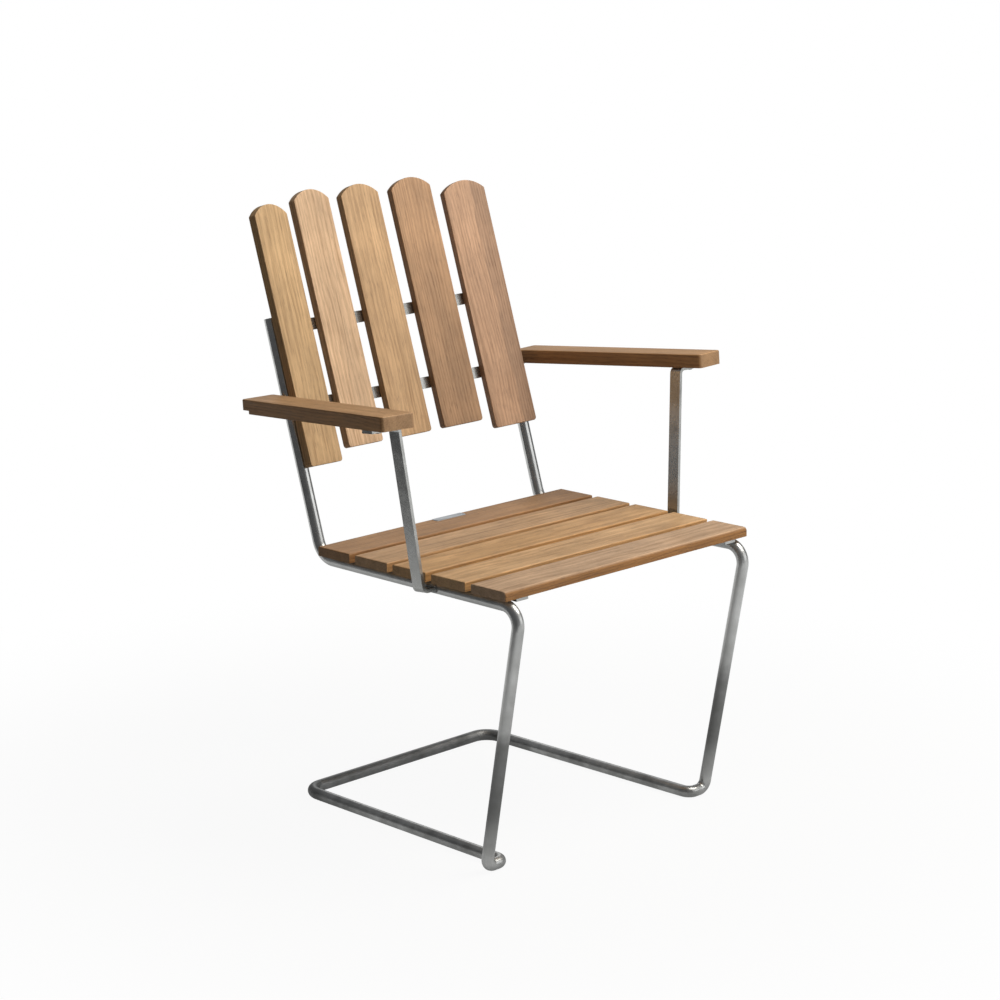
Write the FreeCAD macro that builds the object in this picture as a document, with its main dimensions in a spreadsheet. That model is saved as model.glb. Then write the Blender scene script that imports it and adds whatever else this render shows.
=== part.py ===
import FreeCAD, Part
import math
import os
import Sketcher
from FreeCAD import Placement, Rotation, Vector

# Sprung garden armchair: a bent round-bar frame with a cantilevered seat,
# wooden seat and back slats, and wooden arms on flat-bar posts.
# Millimetres and degrees. The chair faces -Y, +X is the sitter's left, Z is up.
SIZES = [
    ("bar_d", 18.0, "diameter of the round frame bar"),
    ("rail_z", 403.7, "height of the seat rail axis above the floor, at the front bend"),
    ("seat_fall", 0.5, "fall of the rails and the seat to the rear, degrees"),
    ("leg_top_inset", 17.5, "bar at the front bends in from the seat slats' ends"),
    ("leg_foot_inset", 21.5, "legs at the floor in from the seat slats' ends"),
    ("runner_front_inset", 55.5, "floor runners at the feet in from the seat slats' ends"),
    ("runner_rear_inset", 62.5, "floor runners at the rear in from the seat slats' ends"),
    ("upright_inset", 25.5, "back uprights in from the seat slats' ends"),
    ("front_overhang", 12.0, "front bend corner ahead of the seat's front edge"),
    ("foot_setback", 58.0, "foot behind the seat's front edge"),
    ("base_rear", 488.0, "rear crossbar behind the seat's front edge"),
    ("rail_rear", 402.0, "rear bend corner behind the seat's front edge"),
    ("front_bend_r", 27.0, "axis radius of the front bends"),
    ("rear_bend_r", 34.0, "axis radius of the bends below the back"),
    ("corner_bend_r", 28.0, "axis radius of the base's rear corners"),
    ("foot_bend_r", 13.0, "axis radius of the two bends in each foot"),
    ("recline", 17.4, "lean of the uprights from the vertical, degrees"),
    ("upright_len", 360.5, "uprights from their lower corner to the cut top"),
    ("seat_slat_len", 519.0, "length of a seat slat"),
    ("seat_slat_w", 67.0, "width of a seat slat"),
    ("seat_slat_gap", 11.75, "gap between seat slats"),
    ("seat_slat_th", 14.0, "thickness of a seat slat"),
    ("seat_edge_r", 2.0, "rounding of the seat slats' top edges"),
    ("seat_nose_r", 6.0, "rounding of the front slat's nose"),
    ("iron_w", 23.0, "width of the seat irons"),
    ("iron_th", 5.0, "thickness of the seat irons"),
    ("iron_proud", 2.0, "seat irons' tops above the bar, so that the slats bear on them"),
    ("iron_front_inset", 3.0, "seat irons short of the seat's front edge"),
    ("iron_rear_inset", 14.0, "seat irons short of the seat's rear edge"),
    ("back_slat_len", 393.0, "length of a back slat over its arched top"),
    ("back_slat_w", 77.0, "width of a back slat"),
    ("back_slat_th", 13.0, "thickness of a back slat"),
    ("back_arch", 16.0, "rise of a back slat's arched top"),
    ("back_corner_r", 5.0, "rounding of a back slat's lower corners"),
    ("back_shoulder_r", 3.0, "rounding of a back slat's shoulders"),
    ("back_edge_r", 1.5, "rounding of a back slat's front edges"),
    ("back_rake", 0.6, "lean of the back slats beyond the uprights' own, degrees"),
    ("back_stand_off", 1.2, "outer back slats clear of the uprights' cut tops"),
    ("back_outer_inset", 30.3, "outer back slats' middles in from the uprights' axes"),
    ("back_inner_share", 0.512, "inner back slats' turn as a share of the outer slats' turn"),
    ("back_curve_r", 1023.0, "radius of the back's curve at the slats' rear faces"),
    ("slat_low_outer", 133.5, "outer slats' lower ends above the upright corner"),
    ("slat_low_inner", 150.5, "inner slats' lower ends above the upright corner"),
    ("strap_low", 225.5, "lower strap above the upright corner"),
    ("strap_drop", 17.0, "upper strap below the uprights' cut tops"),
    ("strap_w", 18.0, "width of the back straps"),
    ("strap_th", 4.0, "thickness of the back straps"),
    ("strap_gap", 0.1, "gap between the back straps and the slats' rear faces"),
    ("post_setback", 157.0, "arm posts' feet behind the seat's front edge"),
    ("post_w", 20.0, "width of the flat-bar arm posts"),
    ("post_th", 5.0, "thickness of the arm posts and arm brackets"),
    ("post_reach", 33.0, "post's lower corner out from the rail axis"),
    ("post_flare", 26.0, "post's top corner further out than its lower one"),
    ("post_rise", 239.0, "post's top corner above the rail axis"),
    ("post_tab", 52.0, "length of the post's top tab"),
    ("post_bend_r", 8.0, "middle radius of the post's bends"),
    ("arm_slope", 5.0, "fall of the arms to the rear, degrees"),
    ("arm_toe", 7.8, "turn of the arms towards the uprights, degrees"),
    ("arm_spread", 70.0, "middle of an arm's front end out from the seat slats' ends"),
    ("arm_ahead", 43.0, "arm's front end ahead of its post"),
    ("arm_len", 354.0, "length of an arm"),
    ("arm_w", 56.0, "width of an arm"),
    ("arm_th", 21.0, "thickness of an arm"),
    ("arm_corner_r", 5.0, "rounding of an arm's corners in plan"),
    ("arm_edge_r", 2.0, "rounding of an arm's top edges"),
    ("rebate_len", 18.5, "length of the rebate under the arm's rear end"),
    ("bracket_end", 1.5, "arm bracket short of the arm's rear end"),
    ("bracket_inset", 22.0, "arm bracket's outer end in from the arm's side"),
    ("bracket_root", 17.0, "width of the arm bracket at the upright"),
    ("plate_len", 62.0, "length of the blank plate on the rear slat"),
    ("plate_w", 14.0, "width of the blank plate"),
    ("plate_th", 0.8, "thickness of the blank plate"),
    ("shank_d", 4.0, "screw shank diameter"),
    ("head_d", 8.0, "screw head diameter"),
    ("head_rise", 2.4, "screw head height"),
    ("seat_bite", 9.0, "depth of a seat screw in its slat"),
    ("back_bite", 8.0, "depth of a back screw in its slat"),
    ("arm_bite", 12.0, "depth of an arm screw in its arm"),
    ("pilot_depth", 1.0, "pilot hole deeper than the screw"),
    ("pilot_clear", 0.05, "clearance round a shank in wood"),
    ("hole_clear", 0.2, "clearance round a shank in steel"),
    ("seat_gap", 0.2, "gap left where a bar and a flat piece meet"),
]
SEAT_COUNT = 5
SIDES = {"right": -1, "left": 1}
X_AXIS = Vector(1, 0, 0)
Z_AXIS = Vector(0, 0, 1)

doc = FreeCAD.newDocument("armchair")
sheet = doc.addObject("Spreadsheet::Sheet", "Sizes")
for row, (alias, value, note) in enumerate(SIZES, 1):
    sheet.set("A%d" % row, note)
    sheet.set("B%d" % row, str(value))
    sheet.setAlias("B%d" % row, alias)
doc.recompute()
size = {alias: float(sheet.get(alias)) for alias, value, note in SIZES}
nodes = []


def keep(obj, label, place=None):
    """Names a finished piece and puts it in its place."""
    obj.Label = label
    if place is not None:
        obj.Placement = place
    nodes.append(obj)
    return obj


def rounded_runs(points, radii):
    """Straight runs joined by tangent arcs: tuples of points, two for a line and three for an arc."""
    runs = []
    start = points[0]
    for before, corner, after, radius in zip(points, points[1:], points[2:], radii):
        back = (before - corner).normalize()
        ahead = (after - corner).normalize()
        half = back.getAngle(ahead) / 2
        reach = radius / math.tan(half)
        first = corner + back * reach
        last = corner + ahead * reach
        inward = (back + ahead).normalize()
        middle = corner + inward * (radius / math.sin(half) - radius)
        runs.append((start, first))
        runs.append((first, middle, last))
        start = last
    runs.append((start, points[-1]))
    return runs


def edges_of(runs):
    """Edges of a path made of lines and arcs."""
    made = []
    for run in runs:
        curve = Part.LineSegment(*run) if len(run) == 2 else Part.Arc(*run)
        made.append(curve)
    return made


def bar(label, runs):
    """Round bar swept along its runs."""
    path = doc.addObject("Part::Feature", label + "_path")
    path.Shape = Part.Wire([curve.toShape() for curve in edges_of(runs)])
    ring = doc.addObject("Part::Circle", label + "_section")
    ring.setExpression("Radius", "Sizes.bar_d / 2")
    first = path.Shape.Edges[0]
    tangent = first.tangentAt(first.FirstParameter)
    if (first.valueAt(first.FirstParameter) - runs[0][0]).Length > 0.001:
        tangent = first.tangentAt(first.LastParameter) * -1
    ring.Placement = Placement(runs[0][0], Rotation(Z_AXIS, tangent))
    sweep = doc.addObject("Part::Sweep", label + "_bar")
    sweep.Sections = [ring]
    sweep.Spine = (path, ["Edge%d" % (i + 1) for i in range(len(path.Shape.Edges))])
    sweep.Solid = True
    return keep(sweep, label)


def new_body(label, place):
    """Empty body for a solid piece."""
    return keep(doc.addObject("PartDesign::Body", label + "_body"), label, place)


def new_sketch(body, name, role):
    """Sketch on one of the body's own planes."""
    plane = [f for f in body.Origin.OriginFeatures if f.Role == role][0]
    sketch = body.newObject("Sketcher::SketchObject", name)
    sketch.AttachmentSupport = [(plane, "")]
    sketch.MapMode = "FlatFace"
    return sketch


def pad(body, name, sketch, length):
    """Pad whose length is bound to the sheet."""
    made = body.newObject("PartDesign::Pad", name)
    made.Profile = sketch
    made.setExpression("Length", length)
    doc.recompute()
    return made


def holes(body, name, role, centres, radius, depth):
    """Round holes cut into the body from one of its planes."""
    before = body.Shape.Volume
    sketch = new_sketch(body, name + "_sketch", role)
    for centre in centres:
        sketch.addGeometry(Part.Circle(centre, Z_AXIS, radius))
    cut = body.newObject("PartDesign::Pocket", name)
    cut.Profile = sketch
    cut.Reversed = True
    cut.setExpression("Length", depth)
    doc.recompute()
    assert body.Shape.Volume < before, name + " cuts nothing"


def rounding(body, name, base, chosen, radius):
    """Fillet of the edges that the given test picks."""
    picked = ["Edge%d" % (i + 1) for i, edge in enumerate(base.Shape.Edges) if chosen(edge)]
    made = body.newObject("PartDesign::Fillet", name)
    made.Base = (base, picked)
    made.setExpression("Radius", radius)
    doc.recompute()
    return made


def rectangle(sketch, width, depth):
    """Rectangle centred on the sketch's origin, with both sizes bound to the sheet."""
    corners = [Vector(-1, -1, 0), Vector(1, -1, 0), Vector(1, 1, 0), Vector(-1, 1, 0)]
    for a, b in zip(corners, corners[1:] + corners[:1]):
        sketch.addGeometry(Part.LineSegment(a * 10, b * 10))
    for i in range(4):
        sketch.addConstraint(Sketcher.Constraint("Coincident", i, 2, (i + 1) % 4, 1))
    for i, way in enumerate(("Horizontal", "Vertical", "Horizontal", "Vertical")):
        sketch.addConstraint(Sketcher.Constraint(way, i))
    sketch.addConstraint(Sketcher.Constraint("Symmetric", 0, 1, 2, 1, -1, 1))
    wide = sketch.addConstraint(Sketcher.Constraint("DistanceX", 0, 1, 0, 2, 20))
    deep = sketch.addConstraint(Sketcher.Constraint("DistanceY", 1, 1, 1, 2, 20))
    sketch.setExpression("Constraints[%d]" % wide, width)
    sketch.setExpression("Constraints[%d]" % deep, depth)


def strip_outline(points, radius, thickness):
    """Closed outline of a flat strip bent along points in the XY plane of a sketch."""
    runs = rounded_runs(points, [radius] * (len(points) - 2))
    sides = []
    for sign in (1, -1):
        side = []
        for run in runs:
            chord = run[-1] - run[0]
            aside = Vector(-chord.y, chord.x, 0).normalize() * (sign * thickness / 2)
            side.append(tuple(point + aside for point in run))
        for i in range(1, len(side), 2):
            side[i] = (side[i - 1][1], side[i][1], side[i + 1][0])
        sides.append(side)
    there = sides[0]
    back = [tuple(reversed(run)) for run in reversed(sides[1])]
    return there + [(there[-1][-1], back[0][0])] + back + [(back[-1][-1], there[0][0])]


def closed_runs(points, radii):
    """Closed outline with rounded corners."""
    start = (points[0] + points[-1]) / 2
    runs = rounded_runs([start] + points + [start], radii)
    return [run for run in runs if (run[-1] - run[0]).Length > 1e-6]


def arched_outline():
    """Outline of a back slat: rounded lower corners, and rounded shoulders under an arched top."""
    half = size["back_slat_w"] / 2
    shoulder_r = size["back_shoulder_r"]
    arch_r = (half ** 2 + size["back_arch"] ** 2) / (2 * size["back_arch"])
    arch_middle = Vector(0, size["back_slat_len"] - arch_r, 0)
    rise = math.sqrt((arch_r - shoulder_r) ** 2 - (half - shoulder_r) ** 2)
    corner = Vector(half - shoulder_r, arch_middle.y + rise, 0)
    outward = (corner - arch_middle).normalize()
    sideways = Vector(1, 0, 0)
    right = [
        corner + sideways * shoulder_r,
        corner + (outward + sideways).normalize() * shoulder_r,
        corner + outward * shoulder_r,
    ]
    left = [Vector(-point.x, point.y, 0) for point in reversed(right)]
    foot = [left[2], Vector(-half, 0, 0), Vector(half, 0, 0), right[0]]
    foot_runs = rounded_runs(foot, [size["back_corner_r"]] * 2)
    crown = (right[2], Vector(0, size["back_slat_len"], 0), left[0])
    return foot_runs + [tuple(right), crown, tuple(left)]


def screws(label, grip, bite, places):
    """Slotted pan-head screws of one length, each a solid of its own."""
    shank = doc.addObject("Part::Cylinder", label + "_shank")
    shank.setExpression("Radius", "Sizes.shank_d / 2")
    shank.setExpression("Height", "%s + %s" % (grip, bite))
    disc = doc.addObject("Part::Cylinder", label + "_disc")
    disc.setExpression("Radius", "Sizes.head_d / 2")
    disc.setExpression("Height", "Sizes.head_rise")
    disc.setExpression("Placement.Base.z", "-Sizes.head_rise")
    slot = doc.addObject("Part::Box", label + "_slot")
    slot.setExpression("Length", "Sizes.head_d * 2")
    slot.setExpression("Width", "Sizes.head_d / 7")
    slot.setExpression("Height", "Sizes.head_rise / 2")
    slot.setExpression("Placement.Base.x", "-Sizes.head_d")
    slot.setExpression("Placement.Base.y", "-Sizes.head_d / 14")
    slot.setExpression("Placement.Base.z", "-Sizes.head_rise")
    head = doc.addObject("Part::Cut", label + "_head")
    head.Base = disc
    head.Tool = slot
    whole = doc.addObject("Part::Fuse", label + "_screw")
    whole.Base = head
    whole.Tool = shank
    doc.recompute()
    copies = []
    for place in places:
        copy = whole.Shape.copy()
        copy.Placement = place
        copies.append(copy)
    group = doc.addObject("Part::Feature", label + "_group")
    group.Shape = Part.Compound(copies)
    return keep(group, label)


# Heights and datum lines that several pieces share.
bar_r = size["bar_d"] / 2
slat_base = bar_r + size["iron_proud"]
seat_depth = SEAT_COUNT * size["seat_slat_w"] + (SEAT_COUNT - 1) * size["seat_slat_gap"]
fall = math.radians(size["seat_fall"])
lean = math.radians(size["recline"])
back_lean = lean + math.radians(size["back_rake"])
seat_half = size["seat_slat_len"] / 2
upright_x = seat_half - size["upright_inset"]
strap_high = size["upright_len"] - size["strap_drop"]
outer_turn = math.asin((upright_x - size["back_outer_inset"]) / size["back_curve_r"])
inner_turn = outer_turn * size["back_inner_share"]
slat_turns = [-outer_turn, -inner_turn, 0.0, inner_turn, outer_turn]

# The back's curve is centred ahead of the chair, so that the outer slats stand just clear of the uprights.
bearing_r = size["back_curve_r"] + bar_r + size["back_stand_off"]
curve_y = -(bearing_r - upright_x * math.sin(outer_turn)) / math.cos(outer_turn)

# The origin is below the middle of the chair's depth.
# The front bend is foremost and the middle slat's top rearmost.
leg_rise = size["rail_z"] - bar_r
leg_run = size["foot_setback"] + size["front_overhang"]
leg_turn = math.pi / 2 + math.atan2(leg_run, leg_rise) + fall
bend_reach = size["front_bend_r"] * math.tan(leg_turn / 2)
bend_middle = bend_reach * math.cos(fall) - size["front_bend_r"] * math.sin(fall)
foremost = bend_middle - size["front_overhang"] - size["front_bend_r"] - bar_r
slat_top = size["slat_low_inner"] + size["back_slat_len"]
edge_r = size["back_edge_r"]
slat_rear = curve_y + size["back_curve_r"]
bearing_back = size["upright_len"] * math.sin(lean)
above_bearing = (slat_top - edge_r - size["upright_len"]) * math.sin(back_lean)
top_back = bearing_back + above_bearing + (slat_rear - edge_r) * math.cos(back_lean) + edge_r
rearmost = size["rail_rear"] + top_back
front_y = -(foremost + rearmost) / 2


def frame_points(sign):
    """Corners of one side of the frame, from the rear of the base round to the upright's top."""
    top = size["upright_len"]
    rear_z = size["rail_z"] - (size["rail_rear"] + size["front_overhang"]) * math.tan(fall)
    rear_y = front_y + size["rail_rear"]
    foot_y = front_y + size["foot_setback"]
    return [
        Vector(0, front_y + size["base_rear"], bar_r),
        Vector(sign * (seat_half - size["runner_rear_inset"]), front_y + size["base_rear"], bar_r),
        Vector(sign * (seat_half - size["runner_front_inset"]), foot_y, bar_r),
        Vector(sign * (seat_half - size["leg_foot_inset"]), foot_y, bar_r),
        Vector(sign * (seat_half - size["leg_top_inset"]), front_y - size["front_overhang"], size["rail_z"]),
        Vector(sign * upright_x, rear_y, rear_z),
        Vector(sign * upright_x, rear_y + top * math.sin(lean), rear_z + top * math.cos(lean)),
    ]


def rail_point(sign, y):
    """Point on the rail's axis at a given depth."""
    points = frame_points(sign)
    share = (y - points[4].y) / (points[5].y - points[4].y)
    return points[4] + (points[5] - points[4]) * share


# Frame: the base loop and legs, then the front bends, rails and uprights.
bend_radii = [
    size["corner_bend_r"],
    size["foot_bend_r"],
    size["foot_bend_r"],
    size["front_bend_r"],
    size["rear_bend_r"],
]
sides = {name: rounded_runs(frame_points(sign), bend_radii) for name, sign in SIDES.items()}
right_end = [tuple(reversed(run)) for run in reversed(sides["right"][:2])]
left_end = sides["left"][:2]
across = [(right_end[1][0], left_end[0][1])]
bar("rear_crossbar", right_end[:1] + across + left_end[1:])
for name, runs in sides.items():
    bar("floor_runner_" + name, runs[2:6])
    bar("front_leg_" + name, runs[6:7])
    bar("front_bend_" + name, runs[7:8])
    bar("seat_rail_" + name, runs[8:9])
    bar("back_upright_" + name, runs[9:11])

# The seat lies in a frame of its own, on the rails' axes, and falls with them to the rear.
seat_start = Vector(0, front_y, size["rail_z"] - size["front_overhang"] * math.tan(fall))
seat_frame = Placement(seat_start, Rotation(X_AXIS, -size["seat_fall"]))
to_seat = seat_frame.inverse()

# Seat irons run inside the rails, close against them, with a hole for each slat's screw.
iron_sink = size["iron_th"] - size["iron_proud"]
iron_side = math.sqrt(bar_r ** 2 - (bar_r - iron_sink) ** 2)
iron_from_rail = iron_side + size["seat_gap"] + size["iron_w"] / 2
iron_middle_y = (size["iron_front_inset"] + seat_depth - size["iron_rear_inset"]) / 2
seat_pitch = size["seat_slat_w"] + size["seat_slat_gap"]
slat_middles = [size["seat_slat_w"] / 2 + i * seat_pitch for i in range(SEAT_COUNT)]
seat_places = []
for name, sign in SIDES.items():
    start, end = [to_seat.multVec(point) for point in frame_points(sign)[4:6]]
    way = (end - start).normalize()
    inward = Vector(-sign * way.y, sign * way.x, 0)
    beside = start + way * ((iron_middle_y - start.y) / way.y)
    middle = beside + inward * iron_from_rail
    middle.z = slat_base - size["iron_th"]
    turn = Rotation(Vector(0, 1, 0), way)
    body = new_body("seat_iron_" + name, seat_frame * Placement(middle, turn))
    outline = new_sketch(body, "iron_outline_" + name, "XY_Plane")
    slats_and_gaps = "%d * Sizes.seat_slat_w + %d * Sizes.seat_slat_gap" % (SEAT_COUNT, SEAT_COUNT - 1)
    rectangle(outline, "Sizes.iron_w", slats_and_gaps + " - Sizes.iron_front_inset - Sizes.iron_rear_inset")
    pad(body, "iron_pad_" + name, outline, "Sizes.iron_th")
    along = [(y - middle.y) / way.y for y in slat_middles]
    centres = [Vector(0, distance, 0) for distance in along]
    radius = size["shank_d"] / 2 + size["hole_clear"]
    holes(body, "iron_holes_" + name, "XY_Plane", centres, radius, "Sizes.iron_th")
    seat_places += [middle + way * distance for distance in along]

# Seat slats lie across the rails and irons; the front one has a rounded nose.
for i, slat_y in enumerate(slat_middles):
    label = "seat_slat_%d" % (i + 1)
    place = Vector(0, slat_y, slat_base)
    body = new_body(label, seat_frame * Placement(place, Rotation()))
    outline = new_sketch(body, label + "_outline", "XY_Plane")
    rectangle(outline, "Sizes.seat_slat_len", "Sizes.seat_slat_w")
    board = pad(body, label + "_pad", outline, "Sizes.seat_slat_th")
    front_edge = -size["seat_slat_w"] / 2

    def on_top(edge):
        return abs(edge.CenterOfMass.z - size["seat_slat_th"]) < 0.01

    if i == 0:
        board = rounding(
            body,
            label + "_nose",
            board,
            lambda edge: on_top(edge) and abs(edge.CenterOfMass.y - front_edge) < 0.01,
            "Sizes.seat_nose_r",
        )
        nose_line = front_edge + size["seat_nose_r"]
    else:
        nose_line = front_edge - 1
    rounding(
        body,
        label + "_edges",
        board,
        lambda edge: on_top(edge) and abs(edge.CenterOfMass.y - nose_line) > 0.01,
        "Sizes.seat_edge_r",
    )
    spots = [spot - place for spot in seat_places if abs(spot.y - slat_y) < 0.01]
    centres = [Vector(spot.x, spot.y, 0) for spot in spots]
    pilot = size["shank_d"] / 2 + size["pilot_clear"]
    holes(body, label + "_pilots", "XY_Plane", centres, pilot, "Sizes.seat_bite + Sizes.pilot_depth")
screw_places = [seat_frame * Placement(spot, Rotation()) for spot in seat_places]
screws("seat_screws", "Sizes.iron_th", "Sizes.seat_bite", screw_places)

# Blank plate lying flat on the rear seat slat, along its rear edge.
plate = doc.addObject("Part::Box", "rear_plate_box")
plate.setExpression("Length", "Sizes.plate_len")
plate.setExpression("Width", "Sizes.plate_w")
plate.setExpression("Height", "Sizes.plate_th")
plate_y = seat_depth - size["seat_edge_r"] - size["plate_w"]
plate_spot = Vector(-size["plate_len"] / 2, plate_y, slat_base + size["seat_slat_th"])
keep(plate, "rear_plate", seat_frame * Placement(plate_spot, Rotation()))

# Back slats stand on a shallow curve, each turned to face its centre.
# Their frame leans a little more than the uprights, from the uprights' cut tops.
upright_top = frame_points(1)[6]
bearing = Placement(Vector(0, upright_top.y, upright_top.z), Rotation(X_AXIS, -math.degrees(back_lean)))
back_frame = bearing * Placement(Vector(0, 0, -size["upright_len"]), Rotation())
flat_half = size["back_slat_w"] / 2 - size["back_edge_r"]
strap_r = math.hypot(size["back_curve_r"], flat_half) + size["strap_gap"]
back_places = []
for i, turn in enumerate(slat_turns):
    label = "back_slat_%d" % (i + 1)
    outer = abs(turn) == outer_turn
    low = size["slat_low_outer"] if outer else size["slat_low_inner"]
    radius = size["back_curve_r"]
    spot = Vector(radius * math.sin(turn), curve_y + radius * math.cos(turn), low)
    facing = Rotation(Z_AXIS, -math.degrees(turn))
    body = new_body(label, back_frame * Placement(spot, facing))
    outline = new_sketch(body, label + "_outline", "XZ_Plane")
    outline.addGeometry(edges_of(arched_outline()))
    board = pad(body, label + "_pad", outline, "Sizes.back_slat_th")

    def on_a_face(edge):
        middle_y = edge.CenterOfMass.y
        return abs(middle_y) < 0.01 or abs(middle_y + size["back_slat_th"]) < 0.01

    rounding(body, label + "_edges", board, on_a_face, "Sizes.back_edge_r")
    levels = [size["strap_low"], strap_high]
    centres = [Vector(0, level - low, 0) for level in levels]
    pilot = size["shank_d"] / 2 + size["pilot_clear"]
    holes(body, label + "_pilots", "XZ_Plane", centres, pilot, "Sizes.back_bite + Sizes.pilot_depth")
    for level in levels:
        rear = strap_r + size["strap_th"]
        point = Vector(rear * math.sin(turn), curve_y + rear * math.cos(turn), level)
        inward = Vector(-math.sin(turn), -math.cos(turn), 0)
        back_places.append(back_frame * Placement(point, Rotation(Z_AXIS, inward)))


def strap_reach(level):
    """Angle from the middle at which a strap's rear corner comes up to the upright."""
    behind = (size["upright_len"] - level) * math.tan(back_lean - lean)
    rear = strap_r + size["strap_th"]
    away = math.hypot(upright_x, behind - curve_y)
    clear = bar_r + size["seat_gap"]
    short = math.acos((away ** 2 + rear ** 2 - clear ** 2) / (2 * away * rear))
    return math.degrees(math.atan2(upright_x, behind - curve_y) - short)


# Back straps: flat bars bent to the curve behind the slats, from upright to upright.
inner_face = "hypot(Sizes.back_curve_r; Sizes.back_slat_w / 2 - Sizes.back_edge_r) + Sizes.strap_gap"
for label, level in (("back_strap_lower", size["strap_low"]), ("back_strap_upper", strap_high)):
    strap_half = strap_reach(level)
    corner = Placement(Vector(0, curve_y, level - size["strap_w"] / 2), Rotation(Z_AXIS, 90 - strap_half))
    sectors = []
    for part, radius in (
        ("outer", inner_face + " + Sizes.strap_th"),
        ("inner", inner_face),
    ):
        sector = doc.addObject("Part::Cylinder", label + "_" + part)
        sector.setExpression("Radius", radius)
        sector.setExpression("Height", "Sizes.strap_w")
        sector.Angle = 2 * strap_half
        sector.Placement = back_frame * corner
        sectors.append(sector)
    drills = []
    for i, turn in enumerate(slat_turns):
        drill = doc.addObject("Part::Cylinder", "%s_drill_%d" % (label, i + 1))
        drill.setExpression("Radius", "Sizes.shank_d / 2 + Sizes.hole_clear")
        drill.setExpression("Height", "Sizes.strap_th * 3")
        deep = strap_r - size["strap_th"]
        point = Vector(deep * math.sin(turn), curve_y + deep * math.cos(turn), level)
        outward = Vector(math.sin(turn), math.cos(turn), 0)
        drill.Placement = back_frame * Placement(point, Rotation(Z_AXIS, outward))
        drills.append(drill)
    tools = doc.addObject("Part::Compound", label + "_tools")
    tools.Links = drills
    curved = doc.addObject("Part::Cut", label + "_curved")
    curved.Base = sectors[0]
    curved.Tool = sectors[1]
    drilled = doc.addObject("Part::Cut", label + "_drilled")
    drilled.Base = curved
    drilled.Tool = tools
    keep(drilled, label)
back_grip = "Sizes.strap_th + %s - Sizes.back_curve_r" % inner_face
screws("back_screws", back_grip, "Sizes.back_bite", back_places)

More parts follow.
